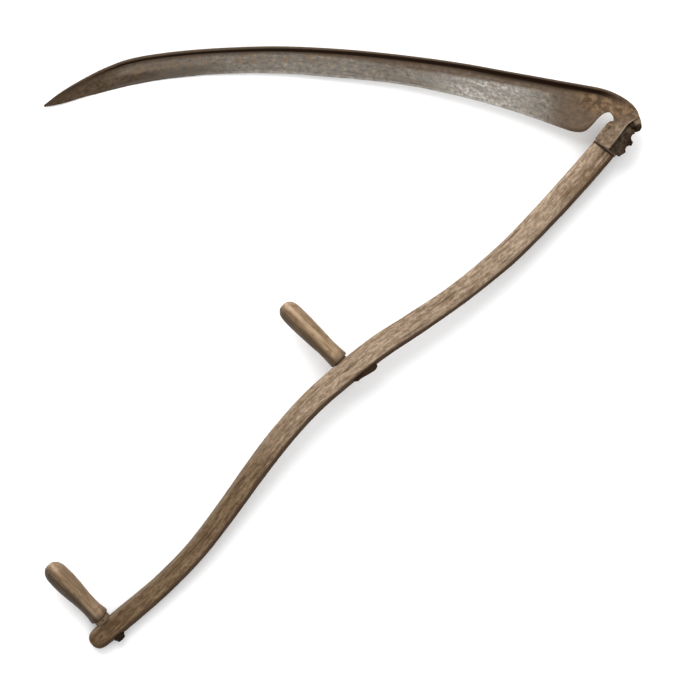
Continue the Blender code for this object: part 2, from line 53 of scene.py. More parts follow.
# Pole: centre line as (x, y, width), as in the CAD.
POLE_STATIONS = [
    (-376.4, -447.3, 32.4), (-329.5, -408.0, 34.4), (-268.0, -355.0, 32.5),
    (-218.0, -303.0, 32.5), (-173.5, -245.0, 33.5), (-131.0, -186.0, 35.0),
    (-86.0, -128.0, 36.0), (-35.0, -73.5, 36.5), (46.5, -6.5, 37.5), (107.5, 34.0, 36.0),
    (168.0, 75.0, 34.5), (224.5, 120.0, 35.5), (264.5, 156.5, 36.5), (314.5, 208.5, 38.0),
    (362.5, 262.0, 38.5), (391.6, 295.6, 38.5),
]
POLE_THICKNESS = 0.78
POLE_ARCH = 22.0
POLE_BUTT_HEIGHT = 13.8
POLE_SQUARENESS = 3.4
BUTT_ROUNDING = 16.0
BUTT_END_SHARE = 0.18
BUTT_TURNS = (0, 9, 18, 27, 36, 46, 57, 68)
POLE_RING_SPACING = 2.6
POLE_POINTS = 84
POLE_LEAN = 0.25
LEAN_SQUARENESS = 1.2

HEEL_MOUTH = np.array([378.3, 310.0])
HEEL_ALONG = np.array([0.699, 0.715]) / math.hypot(0.699, 0.715)
HEEL_ACROSS = np.array([HEEL_ALONG[1], -HEEL_ALONG[0]])
SOCKET_WIDTH = 39.0
SOCKET_HEIGHT = 30.6
SOCKET_LENGTH = 33.0
SOCKET_WALL = 2.0
SOCKET_BOTTOM = 9.7
MOUTH_SLANT = 0.12
SOCKET_POINTS = 64
TENON_LENGTH = 30.0
GAP = 0.3

PLATE_BOTTOM = SOCKET_BOTTOM + SOCKET_HEIGHT + GAP
PLATE_THICKNESS = 4.5
TOOTH_RADIUS = 36.3
NOTCH_RADIUS = 6.4
NOTCH_CENTRE = TOOTH_RADIUS + 1.6
NOTCH_ANGLES = (19.0, -11.0, -41.0)
PLATE_LEFT = ((3.0, -1.8), (8.0, -2.0), (14.0, -2.8), (22.0, -3.7), (29.0, -4.2), (34.0, -3.8),
              (37.5, -2.2), (40.5, 0.6))
TANG_MIDDLE = 48.8
TANG_THICKNESS = 6.0
BOLT_HEAD_RADIUS = 5.0
BOLT_HEAD_HEIGHT = 1.2
BOLT_RADIUS = 4.0
NUT_BORE = 4.25
NUT_POINTS = 64
WASHER_BORE = 4.3
WASHER_POINTS = 56
HEEL_WASHER_RADIUS = 9.0
HEEL_NUT_HALF_WIDTH = 7.0
HEEL_NUT_TURN = 0.35
SCREW_PROFILE = [(0.6, 0.0), (2.0, 0.0), (2.5, -0.15), (2.6, -0.5), (2.6, -1.6), (1.6, -2.6),
                 (1.6, -12.0), (0.3, -14.0)]
NAIL_PROFILE = [(0.6, 0.28), (1.3, 0.22), (1.8, 0.0), (2.0, -0.4), (2.0, -10.0), (0.8, -11.3)]

# Blade: (back x, y, z, edge x, y, z) from the point to the end of the tang, as in the CAD.
BLADE_STATIONS = [
    (-449.4, 363.8, 3.2, -448.8, 360.9, 2.8), (-423.0, 383.6, 5.5, -423.0, 365.7, 1.8),
    (-387.0, 404.7, 8.0, -387.0, 376.4, 1.1), (-351.0, 422.0, 10.4, -351.0, 385.7, 0.5),
    (-315.0, 434.0, 12.4, -315.0, 394.4, 0.5), (-261.0, 442.6, 15.0, -261.0, 403.8, 1.5),
    (-189.0, 448.7, 18.0, -189.0, 410.2, 3.6), (-99.0, 451.3, 22.0, -99.0, 411.2, 7.0),
    (-9.0, 447.4, 26.5, -9.0, 404.9, 11.0), (81.0, 438.7, 31.5, 81.0, 395.3, 15.8),
    (171.0, 426.5, 37.0, 171.0, 377.5, 21.0), (252.0, 411.8, 42.5, 252.0, 355.0, 26.5),
    (304.5, 402.2, 46.0, 304.5, 336.9, 30.5), (328.0, 397.8, 47.5, 327.0, 328.8, 32.5),
    (350.0, 394.0, 48.5, 346.5, 322.6, 34.5), (367.0, 390.9, 49.2, 361.6, 322.6, 36.0),
    (384.0, 387.7, 49.6, 372.4, 330.2, 39.6), (400.0, 382.9, 49.8, 381.3, 340.4, 43.6),
    (414.2, 376.4, 49.8, 390.4, 348.5, 47.2), (427.1, 368.5, 49.5, 398.7, 351.1, 48.5),
    (438.0, 358.2, 49.2, 403.0, 348.0, 48.8), (443.6, 346.0, 49.0, 405.4, 343.6, 48.8),
    (437.0, 339.8, 48.8, 405.6, 338.0, 48.8), (427.0, 332.6, 48.8, 404.4, 331.2, 48.8),
    (419.4, 322.6, 48.8, 398.2, 323.2, 48.8), (410.6, 310.6, 48.8, 391.6, 315.0, 48.8),
    (398.6, 296.0, 48.8, 383.4, 305.2, 48.8),
]
BLADE_STEPS = 14
NECK_START, NECK_END = 16, 21
HOOK_ANGLES = (3.2, 36.0)
WEB_THICKNESS = 2.2
EDGE_THICKNESS = 0.6
EDGE_BEVEL = 4.5
FULL_WIDTH = 32.0
BEAD_WIDTH = 8.0
BEAD_HEIGHT = 5.2
BEAD_PROFILE = ((0.0, 0.42), (0.12, 0.8), (0.3, 1.0), (0.45, 0.98), (0.62, 0.74), (0.78, 0.36),
                (0.9, 0.1), (1.0, 0.0))

NIBS = {
    "upper_nib": {"seat": 20.0, "start": 16.2, "collar": 11.5, "end": 139.6, "head": 15.7,
                  "swell": 16.9, "waist": 14.5, "base": 15.6, "rod_back": 21.6},
    "lower_nib": {"seat": 23.5, "start": 15.0, "collar": 12.6, "end": 136.0, "head": 16.6,
                  "swell": 17.8, "waist": 13.9, "base": 15.8, "rod_back": 24.2},
}
LOWER_NUT_THICKNESS = 4.0
LOWER_NUT_HALF_WIDTH = 5.7
LOWER_NUT_TURN = math.radians(38.0)
LOWER_SEAT = 19.6
LOWER_WASHER_RADIUS = 8.95
GRIP_POINTS = 72
COLLAR_POINTS = 64
ROD_RADIUS = 4.0
ROD_REACH = 60.0
KEEPER_SECTIONS = [(-6.0, 0.4, 5.0), (-2.0, 1.4, 7.0), (8.0, 3.8, 8.8), (20.0, 6.5, 9.4),
                   (28.0, 7.6, 8.6), (33.0, 6.3, 6.8), (35.2, 3.4, 4.4)]

# How much brighter than its own colour a level surface looks in the studio.
STUDIO_LIGHT = 1.25
# Studio and camera, in metres.
FLOOR_REACH = 6.0
FLOOR_DROP = 0.0006
KEY_PLACE = (-1.8, 4.7, 5.0)
CAMERA_DISTANCE = 8.0
VIEW_WIDTH = 1.023
VIEW_CENTRE = (-0.0021, 0.0088)


# Shapes --------------------

def smooth_rows(rows, steps):
    """Catmull-Rom curve through rows of numbers, keeping every row."""
    rows = np.asarray(rows, float)
    padded = np.vstack([2 * rows[0] - rows[1], rows, 2 * rows[-1] - rows[-2]])
    t = (np.arange(steps) / steps)[:, None]
    parts = []
    for a, b, c, d in zip(padded, padded[1:], padded[2:], padded[3:]):
        parts.append(0.5 * (2 * b + (c - a) * t + (2 * a - 5 * b + 4 * c - d) * t ** 2
                            + (3 * b - a - 3 * c + d) * t ** 3))
    return np.vstack(parts + [rows[-1:]])


def smoothstep(low, high, value):
    t = np.clip((np.asarray(value, float) - low) / (high - low), 0, 1)
    return t * t * (3 - 2 * t)


def lumps(points, scale, seed, octaves=3):
    """Smooth noise from -1 to 1 at each point of an array (..., 3) in millimetres."""
    points = np.asarray(points, float)
    flat = points.reshape(-1, 3) * scale + seed * 17.3
    values = [noise.fractal(Vector(p), 1.0, 2.0, octaves) for p in flat]
    return np.array(values).reshape(points.shape[:-1])


def new_piece(name, verts, faces, grain, shade=None):
    """A smooth mesh object from millimetre vertices, with its grain coordinates in metres."""
    mesh = bpy.data.meshes.new(name)
    mesh.from_pydata((np.asarray(verts) * MM).tolist(), [], faces)
    mesh.validate()
    mesh.shade_smooth()
    attribute = mesh.attributes.new("grain", "FLOAT_VECTOR", "POINT")
    attribute.data.foreach_set("vector", (np.asarray(grain, float) * MM).ravel())
    if shade is not None:
        attribute = mesh.attributes.new("shade", "FLOAT", "POINT")
        attribute.data.foreach_set("value", shade)
    piece = bpy.data.objects.new(name, mesh)
    bpy.context.scene.collection.objects.link(piece)
    return piece


def skin(name, rings, grain=None, shade=None):
    """A closed skin over rings (count, points, 3), with a centre point in each end."""
    rings = np.asarray(rings, float)
    if shade is not None:
        shade = np.concatenate([np.asarray(shade, float).ravel(), [0, 0]])
    grain = rings if grain is None else np.asarray(grain, float)
    count, points, _ = rings.shape
    grid = quads(count, points)
    start, end = count * points, count * points + 1
    faces = grid[:-1].reshape(-1, 4).tolist()
    faces += [[start, b, a] for a, b in grid[0, :, :2]]
    faces += [[end, a, b] for a, b in grid[-1, :, :2]]
    ends = [rings[0].mean(axis=0), rings[-1].mean(axis=0)]
    grain_ends = [grain[0].mean(axis=0), grain[-1].mean(axis=0)]
    return new_piece(name, np.vstack([rings.reshape(-1, 3), ends]), faces,
                     np.vstack([grain.reshape(-1, 3), grain_ends]), shade)


def ring_skin(name, rings):
    """A skin whose last ring joins its first, such as a tube wall or a washer."""
    rings = np.asarray(rings, float)
    spots = rings.reshape(-1, 3)
    return new_piece(name, spots, quads(*rings.shape[:2]).reshape(-1, 4).tolist(), spots)


def unit(vectors):
    return vectors / np.linalg.norm(vectors, axis=-1, keepdims=True)


def quads(count, points):
    """Faces between each ring and the next; the last row joins the last ring to the first."""
    index = np.arange(count * points).reshape(count, points)
    after = np.roll(index, -1, axis=1)
    return np.stack([index, after, np.roll(after, -1, axis=0), np.roll(index, -1, axis=0)],
                    axis=-1)


def push_out(rings, amount):
    """Move every point of each ring outward from the ring's middle by an amount."""
    outward = rings - rings.mean(axis=1, keepdims=True)
    length = np.maximum(np.linalg.norm(outward, axis=2, keepdims=True), 1e-6)
    return rings + outward / length * amount[:, :, None]


def line_frame(direction):
    """Two unit vectors square to a direction, the first as level as it can be."""
    direction = np.asarray(direction, float)
    level = np.cross([0, 0, 1], direction)
    if np.linalg.norm(level) < 1e-6:
        level = np.array([1.0, 0, 0])
    level = unit(level)
    return level, np.cross(direction, level)


def circle(direction, turn, radius):
    """Offsets square to a direction, at angles and radii."""
    side, up = line_frame(direction)
    return np.outer(np.cos(turn) * radius, side) + np.outer(np.sin(turn) * radius, up)


def turned_rings(start, direction, profile, points, wobble=None):
    """Rings of a turned shape from (radius, height) pairs, and their grain coordinates."""
    turn = np.arange(points) * 2 * math.pi / points
    rings, grain = [], []
    for radius, height in profile:
        swell = radius if wobble is None else radius + wobble(turn, height)
        rings.append(start + np.asarray(direction) * height + circle(direction, turn, swell))
        grain.append(np.stack([np.full(points, height), np.cos(turn) * swell,
                               np.sin(turn) * swell], axis=1))
    return np.array(rings), np.array(grain)


def rounded_slab(name, outline, bottom, top, rounding):
    """An outline stood up between two heights, its upper and lower rims rounded over."""
    outline = np.asarray(outline, float)
    ahead = np.roll(outline, -1, axis=0) - outline
    behind = outline - np.roll(outline, 1, axis=0)
    tangent = unit(unit(ahead) + unit(behind))
    inward = np.stack([-tangent[:, 1], tangent[:, 0]], axis=1)
    area = np.sum(outline[:, 0] * np.roll(outline[:, 1], -1)
                  - np.roll(outline[:, 0], -1) * outline[:, 1])
    if area < 0:
        inward = -inward
    levels = []
    for angle in np.radians((0, 30, 60, 90)):
        levels.append((rounding * (1 - math.sin(angle)),
                       bottom + rounding * (1 - math.cos(angle))))
    levels += [(inset, top + bottom - height) for inset, height in reversed(levels)]
    return skin(name, [np.column_stack([outline + inward * inset,
                                        np.full(len(outline), height)])
                       for inset, height in levels])


def heel_point(along, across):
    return HEEL_MOUTH + HEEL_ALONG * along + HEEL_ACROSS * across


def socket_middle(along):
    return np.append(heel_point(along, SOCKET_WIDTH / 2), SOCKET_BOTTOM + SOCKET_HEIGHT / 2)


def joint_line(name):
    joint = JOINTS[name]
    return np.array(joint["pos_m"], float) / MM, unit(np.array(joint["axis"], float))


def place(piece, body, slot, node, look=None):
    """Say what a piece rides on, what it is made of and which CAD node it stands for."""
    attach(piece, body)
    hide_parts(node)
    piece.data.materials.append(MATERIALS[look or slot])
    return piece


# Pole --------------------

def pole_height(part):
    rise = part * part * (3 - 2 * part)
    end_height = SOCKET_BOTTOM + SOCKET_HEIGHT / 2
    return (POLE_BUTT_HEIGHT + (end_height - POLE_BUTT_HEIGHT) * rise
            + POLE_ARCH * np.sin(np.pi * part) ** 2)


def section(count, half_width, half_height, power, lean=0.0):
    """A rounded square (side, up), evenly spaced, whose right side may lean in at its top."""
    turn = 2 * np.pi * (np.arange(720) + 0.5) / 720
    c, s = np.cos(turn), np.sin(turn)
    side = np.sign(c) * np.abs(c) ** (2 / power) * half_width
    up = np.sign(s) * np.abs(s) ** (2 / power) * half_height
    side = np.where(side > 0, side * (1 - lean * smoothstep(-0.35, 1.0, up / half_height)), side)
    closed = np.column_stack([np.append(side, side[0]), np.append(up, up[0])])
    run = np.append(0, np.cumsum(np.linalg.norm(np.diff(closed, axis=0), axis=1)))
    want = run[-1] * np.arange(count) / count
    return np.interp(want, run, closed[:, 0]), np.interp(want, run, closed[:, 1])


def pole_path():
    """Centres, side and up directions, widths and distances along the pole, evenly spaced."""
    rows = smooth_rows(POLE_STATIONS, 24)
    run = np.append(0, np.cumsum(np.linalg.norm(np.diff(rows[:, :2], axis=0), axis=1)))
    count = int(run[-1] / POLE_RING_SPACING)
    want = np.linspace(0, run[-1], count)
    x, y, width = (np.interp(want, run, rows[:, i]) for i in range(3))
    centres = np.column_stack([x, y, pole_height(want / run[-1])])
    tangent = unit(np.gradient(centres, axis=0))
    side = unit(np.cross(tangent, [0, 0, 1]))
    return centres, side, np.cross(side, tangent), tangent, width, want


def socket_ring(along, half_width, half_height, slant):
    u, v = section(SOCKET_POINTS, half_width, half_height, POLE_SQUARENESS)
    side = np.append(HEEL_ACROSS, 0)
    ring = socket_middle(along) + np.outer(u, side) + np.outer(v, [0, 0, 1])
    return ring + np.outer(u * slant, np.append(HEEL_ALONG, 0))


def make_pole():
    centres, sides, ups, tangents, widths, run = pole_path()
    rings, grain, shade = [], [], []

    def add(centre, side, up, half_width, half_height, along, lean):
        squareness = POLE_SQUARENESS + LEAN_SQUARENESS * lean / POLE_LEAN
        u, v = section(POLE_POINTS, half_width, half_height, squareness, lean)
        rings.append(centre + np.outer(u, side) + np.outer(v, up))
        grain.append(np.column_stack([np.full(POLE_POINTS, along), u, v]))
        # Painted shade on the right flank and the underside, kept in the shade attribute.
        flank = smoothstep(0.66, 0.84, u / half_width) * smoothstep(1.05, 0.9, v / half_height)
        under = smoothstep(0.1, -0.9, v / half_height)
        shade.append(np.maximum(flank, 0.75 * under))

    for turn in BUTT_TURNS:
        share = BUTT_END_SHARE + (1 - BUTT_END_SHARE) * math.sin(math.radians(turn))
        back = BUTT_ROUNDING * (1 - math.cos(math.radians(turn)))
        half = widths[0] / 2 * share
        add(centres[0] + tangents[0] * back, sides[0], ups[0], half, half * POLE_THICKNESS, back,
            POLE_LEAN * share)
    for i in range(len(centres) - 1):
        if run[i] < BUTT_ROUNDING * 0.75:
            continue
        settle = 1 - 0.06 * (1 - smoothstep(0, BUTT_ROUNDING * 2, run[i]))
        half = widths[i] / 2 * settle
        lean = POLE_LEAN * (1 - 0.75 * smoothstep(run[-1] - 120, run[-1] - 10, run[i]))
        add(centres[i], sides[i], ups[i], half, half * POLE_THICKNESS, run[i], lean)
    full = POLE_STATIONS[-1][2] / 2 - 0.15
    high = full * POLE_THICKNESS
    inset = SOCKET_WALL + GAP
    narrow, low = SOCKET_WIDTH / 2 - inset, SOCKET_HEIGHT / 2 - inset
    body = len(rings)
    across, level = np.append(HEEL_ACROSS, 0), np.array([0.0, 0.0, 1.0])
    for along, half_width, half_height, slanted in (
            (-GAP - 2.2, full, high, 1), (-GAP - 0.9, full - 0.1, high - 0.1, 1),
            (-GAP - 0.2, full - 0.8, high - 0.6, 1), (-GAP, narrow, low, 1),
            (TENON_LENGTH, narrow, low, 0)):
        add(socket_middle(along), across, level, half_width, half_height, run[-1] + along,
            POLE_LEAN * 0.25 if half_width > narrow else 0.0)
        # Painted shade at the end that goes into the socket's mouth.
        shade[-1] = np.maximum(shade[-1], 0.0 if along < -2 else 0.95)
        turned = grain[-1][:, 1:2] * slanted * MOUTH_SLANT
        rings[-1] = rings[-1] + turned * np.append(HEEL_ALONG, 0)
    rings, grain, shade = np.array(rings), np.array(grain), np.array(shade)
    stretched = grain * [0.25, 1, 1]
    shave = 0.34 * lumps(stretched, 0.06, 1) + 0.16 * lumps(stretched, 0.3, 2)
    shave[body:] = 0
    rings = push_out(rings, shave - 0.15 * (shave != 0))
    piece = skin("pole", rings, grain, shade)
    return place(piece, "pole", "ash_wood", "snath")


# Heel --------------------

def make_socket():
    """The iron socket: end wall, side walls and a lip that turns in to its hollow."""
    half_w, half_h = SOCKET_WIDTH / 2, SOCKET_HEIGHT / 2
    steps = [
        (SOCKET_LENGTH, 6.5, 0), (SOCKET_LENGTH - 0.3, 4.0, 0), (SOCKET_LENGTH - 1.2, 2.0, 0),
        (SOCKET_LENGTH - 2.6, 0.8, 0), (SOCKET_LENGTH - 4.5, 0.2, 0),
        (SOCKET_LENGTH - 8.0, 0.0, 0), (SOCKET_LENGTH - 14.0, 0.0, 0.4), (12.0, 0.0, 0.6),
        (6.0, 0.05, 1), (2.0, -0.05, 1), (0.7, 0.0, 1), (0.2, 0.25, 1), (0.0, 0.8, 1),
        (0.1, 1.5, 1), (0.5, SOCKET_WALL, 1), (TENON_LENGTH + GAP, SOCKET_WALL, 0),
    ]
    rings = np.array([socket_ring(along, half_w - inset, half_h - inset, share * MOUTH_SLANT)
                      for along, inset, share in steps])
    # Painted shade inside the socket's mouth, kept in the shade attribute.
    painted_shade = [[0.85 * smoothstep(2.4, 0.9, along)] * SOCKET_POINTS for along, _, _ in steps]
    rough = 0.12 * lumps(rings, 0.22, 5)
    rough[-2:] = 0
    rings = push_out(rings, rough - 0.1)
    return place(skin("socket", rings, rings, painted_shade), "pole", "iron", "heel_socket",
                 "socket_iron")


def plate_outline():
    """The toothed plate seen from above; its notches are bites of a circle out of the rim."""
    pivot = joint_line("blade_swing")[0][:2]
    outline = [heel_point(1.6, PLATE_LEFT[0][1] + 1.2), heel_point(3.4, 20.0),
               heel_point(5.6, 38.0), heel_point(6.8, SOCKET_WIDTH + 3.8),
               heel_point(8.2, SOCKET_WIDTH + 4.9)]
    for angle in np.arange(-64.0, 38.1, 1.0):
        reach = TOOTH_RADIUS
        for notch in NOTCH_ANGLES:
            off = math.radians(angle - notch)
            inside = NOTCH_RADIUS ** 2 - (NOTCH_CENTRE * math.sin(off)) ** 2
            if abs(angle - notch) < 20 and inside > 0:
                bite = NOTCH_CENTRE * math.cos(off) - math.sqrt(inside)
                reach = min(reach, bite)
        turn = math.radians(angle)
        outline.append(pivot + reach * np.array([math.cos(turn), math.sin(turn)]))
    outline += [heel_point(50.0, 9.0), heel_point(47.0, 5.2)]
    left = smooth_rows([(44.0, 3.0), *reversed(PLATE_LEFT)], 5)
    return np.array(outline + [heel_point(*spot) for spot in left])


def set_heel_grain(piece):
    """Give a flat piece its own coordinates along, across and above the heel."""
    spots = np.array([vertex.co for vertex in piece.data.vertices])
    flat = spots[:, :2] - HEEL_MOUTH * MM
    grain = np.column_stack([flat @ HEEL_ALONG, flat @ HEEL_ACROSS, spots[:, 2]])
    piece.data.attributes["grain"].data.foreach_set("vector", grain.ravel())


def make_plate():
    piece = rounded_slab("toothed_plate", plate_outline(), PLATE_BOTTOM,
                         PLATE_BOTTOM + PLATE_THICKNESS, 0.7)
    set_heel_grain(piece)
    return place(piece, "pole", "iron", "heel_plate", "plate_iron")


def make_turned(name, body, slot, node, line, profile, points, rough=0.0, look=None):
    """A turned piece on a line (start, direction) that stands for one CAD node."""
    start, direction = line
    rings, grain = turned_rings(start, direction, profile, points)
    if rough:
        rings = push_out(rings, rough * lumps(rings, 0.5, 7))
    return place(skin(name, rings, grain), body, slot, node, look)


def head_profile(radius, height, neck, length):
    """A domed head on a shank, from the dome's centre down to the shank's end."""
    profile = []
    for turn in range(6, 91, 12):
        angle = math.radians(turn)
        profile.append((radius * math.sin(angle), height * math.cos(angle) * 0.7 + height * 0.3))
    return profile + [(radius - 0.25, 0.0), (neck, 0.0), (neck, 1.0 - length),
                      (neck - 1.0, -length)]


def make_heel_fixings():
    pivot = joint_line("blade_swing")[0]
    bolt_top = TANG_MIDDLE + TANG_THICKNESS / 2 + GAP
    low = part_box("pivot_bolt")[0].z / MM
    head = head_profile(BOLT_HEAD_RADIUS, BOLT_HEAD_HEIGHT, BOLT_RADIUS, bolt_top - low)
    line = np.append(pivot[:2], bolt_top), [0, 0, 1]
    make_turned("tang_bolt", "pole", "bolt_iron", "pivot_bolt", line, head, 48, 0.1, "bolt_head")
    for node, along, across in (("plate_screw_left", 7.0, 9.0), ("plate_screw_right", 11.0, 30.0)):
        start = np.append(heel_point(along, across), PLATE_BOTTOM + PLATE_THICKNESS - 0.4)
        make_turned(node + "_fine", "pole", "bolt_iron", node, (start, [0, 0, 1]), SCREW_PROFILE,
                    32)
    for node, along, sign in (("heel_rivet_left", 9.0, -1), ("heel_rivet_right", 11.0, 1)):
        height = SOCKET_BOTTOM + SOCKET_HEIGHT * 0.36
        across = SOCKET_WIDTH / 2 + sign * (SOCKET_WIDTH / 2 + GAP)
        start = np.append(heel_point(along, across), height)
        out = np.append(HEEL_ACROSS * sign, 0)
        make_turned(node + "_fine", "pole", "bolt_iron", node, (start, out), NAIL_PROFILE, 32)


def washer_rings(start, direction, outer, inner, thickness):
    profile = [(inner, 0.2), (inner + 0.2, 0.0), (outer - 0.5, 0.0), (outer, 0.45),
               (outer, thickness - 0.45), (outer - 0.5, thickness), (inner + 0.2, thickness),
               (inner, thickness - 0.2)]
    return turned_rings(start, direction, profile, WASHER_POINTS)[0]


def square_nut_rings(start, direction, half_width, thickness, turn, inner):
    """A square nut with a chamfered upper face, worn corners and a threaded bore."""
    angles = np.arange(NUT_POINTS) * 2 * np.pi / NUT_POINTS
    reach = half_width / np.maximum(np.abs(np.cos(angles)), np.abs(np.sin(angles)))
    reach = np.minimum(reach, half_width * 1.33)
    chamfer = half_width * 1.02
    levels = [(np.minimum(reach, chamfer), 0.0), (np.minimum(reach, half_width * 1.2), 0.5),
              (reach, 1.4), (reach, thickness - 0.6), (reach - 0.35, thickness),
              (inner + 0.4, thickness), (inner, thickness - 0.4), (inner, 0.5),
              (inner + 0.5, 0.0)]
    rings = np.array([start + np.asarray(direction) * height
                      + circle(direction, angles + turn, radius) for radius, height in levels])
    return rings + 0.08 * lumps(rings, 0.6, 9)[:, :, None] * np.asarray(direction)


def make_pivot_nut():
    pivot = joint_line("blade_swing")[0]
    low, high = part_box("pivot_washer")
    start = np.append(pivot[:2], low.z / MM)
    rings = washer_rings(start, [0, 0, 1], HEEL_WASHER_RADIUS, WASHER_BORE,
                         (high.z - low.z) / MM)
    place(ring_skin("washer", rings), "pole", "bolt_iron", "pivot_washer")
    low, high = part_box("pivot_nut")
    start = np.append(pivot[:2], low.z / MM)
    rings = square_nut_rings(start, [0, 0, 1], HEEL_NUT_HALF_WIDTH, (high.z - low.z) / MM,
                             HEEL_NUT_TURN, NUT_BORE)
    place(ring_skin("heel_nut", rings), "pivot_nut", "bolt_iron", "pivot_nut")


# Blade --------------------

def edge_spread(width):
    """Distances from the edge to the back, close together at both sides."""
    scale = min(1.0, width / FULL_WIDTH)
    near_edge = np.array([0, 0.12, 0.35, 0.8, 1.5, 2.6, EDGE_BEVEL, 6.0]) * scale
    bead = BEAD_WIDTH * scale
    parts = np.array([1.25, 1.1, 1.0, 0.93, 0.85, 0.76, 0.66, 0.55, 0.44, 0.34, 0.25, 0.17, 0.1,
                      0.05, 0.018, 0.0])
    near_back = width - bead * parts
    middle = np.linspace(near_edge[-1], near_back[0], 11)[1:-1]
    return np.concatenate([near_edge, middle, near_back])


def rim_drop(distance, rim):
    """How far a rounded rim has dropped at a distance in from its side."""
    return rim * (1 - np.sqrt(1 - (1 - np.clip(distance / rim, 0, 1)) ** 2))


def make_blade():
    rows = smooth_rows(BLADE_STATIONS, BLADE_STEPS)
    stations = np.arange(len(rows)) / BLADE_STEPS
    middles = (rows[:, :3] + rows[:, 3:]) / 2
    run = np.append(0, np.cumsum(np.linalg.norm(np.diff(middles, axis=0), axis=1)))
    rings, grain = [], []
    for row, part, distance in zip(rows, stations, run):
        back, edge = row[:3], row[3:]
        across = back - edge
        width = np.linalg.norm(across)
        from_edge = edge_spread(width)
        from_back = width - from_edge
        neck = smoothstep(NECK_START, NECK_END, part)
        taper = min(part / 4.0, 1.0)
        web = WEB_THICKNESS / 2 * (0.55 + 0.45 * taper)
        thick = web + (TANG_THICKNESS / 2 - web) * neck
        scale = min(1.0, width / FULL_WIDTH)
        thin = EDGE_THICKNESS / 2 + (thick - EDGE_THICKNESS / 2) * neck
        half = thin + (thick - thin) * smoothstep(0, EDGE_BEVEL * scale, from_edge)
        rounding_edge = rim_drop(from_edge, 0.22 + 0.9 * neck)
        rounding_back = rim_drop(from_back, 0.7 + 0.4 * neck)
        bead = BEAD_HEIGHT * (0.25 + 0.75 * taper) * (1 - neck)
        spots, heights = zip(*BEAD_PROFILE)
        lift = bead * np.interp(from_back / (BEAD_WIDTH * scale), spots, heights)
        upper = half + lift - rounding_edge - rounding_back
        lower = -(half - rounding_edge - rounding_back)
        line = edge + np.outer(from_edge / width, across)
        top = line + np.outer(upper, [0, 0, 1])
        bottom = (line + np.outer(lower, [0, 0, 1]))[::-1]
        rings.append(np.vstack([top, bottom]))
        marks = np.column_stack([np.full(len(line), distance), from_edge, from_back])
        grain.append(np.vstack([marks, marks[::-1]]))
    rings, grain = np.array(rings), np.array(grain)
    flat = rings * [1, 1, 0]
    sheet = smoothstep(8, 24, grain[:, :, 1]) * (1 - smoothstep(840, 900, grain[:, :, 0]))
    rings[:, :, 2] += sheet * (0.28 * lumps(flat, 0.012, 3, 2) + 0.06 * lumps(flat, 0.09, 4, 2))
    near = 1 - smoothstep(0, 5, grain[:, :, 1])
    along = grain[:, :, :1] * [1, 0, 0]
    live = near * smoothstep(5, 60, grain[:, :, 0]) * (1 - smoothstep(750, 840, grain[:, :, 0]))
    rings[:, :, 1] += live * (0.30 * lumps(along, 0.03, 6) + 0.22 * lumps(along, 0.25, 8, 2))
    return place(skin("blade_fine", rings, grain), "blade", "blade_steel", "blade")


def make_hook():
    """The locking hook: an L section swept round the bolt, its corners and tip rounded."""
    pivot = joint_line("blade_swing")[0]
    top = TANG_MIDDLE + 1.7
    low, lip_top = 35.8, 39.8
    start, end = (math.radians(angle) for angle in HOOK_ANGLES)
    rings, grain = [], []
    for part in np.linspace(0, 1, 40):
        angle = start + (end - start) * part
        tip = min(part / 0.3, 1.0)
        round_off = math.sqrt(1 - (1 - tip) ** 2) if tip < 1 else 1.0
        outer = 38.5 + (46.4 + 4.2 * part - 38.5) * (0.15 + 0.85 * round_off)
        lip = 38.2 - 7.5 * (0.1 + 0.9 * round_off)
        corners = [(38.6, top), (outer - 2.0, top), (outer - 0.7, top - 0.35),
                   (outer, top - 1.8), (outer, low + 1.4), (outer - 0.5, low + 0.4),
                   (outer - 1.6, low), (lip + 0.9, low), (lip + 0.2, low + 0.3),
                   (lip, low + 1.0), (lip, lip_top - 0.8), (lip + 0.2, lip_top - 0.2),
                   (lip + 0.9, lip_top), (38.2, lip_top), (38.5, lip_top + 0.4)]
        direction = np.array([math.cos(angle), math.sin(angle)])
        ring = [[*(pivot[:2] + direction * radius), height] for radius, height in corners]
        rings.append(ring)
        grain.append([[900 + 20 * part, 20.0 + height * 0.2, 30.0] for _, height in corners])
    rings = np.array(rings)
    rings[:, :, 2] += 0.1 * lumps(rings, 0.2, 11)
    return place(skin("blade_hook", rings, grain), "blade", "blade_steel", "blade", "hook_steel")


# Nibs --------------------

def grip_profile(nib, length):
    head, waist = nib["head"], nib["waist"]
    spots = [(0.6, length), (head * 0.25, length - 0.15), (head * 0.5, length - 1.2)]
    for turn in (45, 60, 75):
        angle = math.radians(turn)
        spots.append((head * 0.97 * math.sin(angle), length - head * 0.8 * (1 - math.cos(angle))))
    swell, base = nib["swell"], nib["base"]
    spots += [(swell * 0.965, length * 0.86), (swell, length * 0.75), (swell * 0.99, length * 0.63),
              (waist + 0.6 * (swell - waist), length * 0.48), (waist + 0.5, length * 0.33),
              (waist, length * 0.22), (waist + 0.35, length * 0.12),
              (base - 0.35, length * 0.055), (base, 3.2), (base - 0.3, 1.4), (base - 1.3, 0.4),
              (base - 3.2, 0.0)]
    return smooth_rows(spots, 6)


def make_grip(name):
    nib = NIBS[name]
    centre, out = joint_line(name + "_turn")
    start = nib["seat"] + GAP
    length = nib["end"] - start
    seed = len(name) + nib["seat"]

    def wobble(turn, height):
        ridge = np.column_stack([np.cos(turn) * 9, np.sin(turn) * 9, np.full(len(turn), height)])
        return 0.22 * np.cos(2 * turn + seed) + 0.22 * lumps(ridge * [1, 1, 0.5], 0.07, seed, 2)

    rings, grain = turned_rings(centre + out * start, out, grip_profile(nib, length),
                                GRIP_POINTS, wobble)
    middle = centre + out * start + np.outer(grain[:, 0, 0], out)
    rings = middle[:, None] + (rings - middle[:, None]) * 0.985
    piece = skin(name + "_grip_fine", rings, grain)
    look = name.split("_")[0] + "_grip"
    return place(piece, name, "grip_wood", name + "_grip", look)


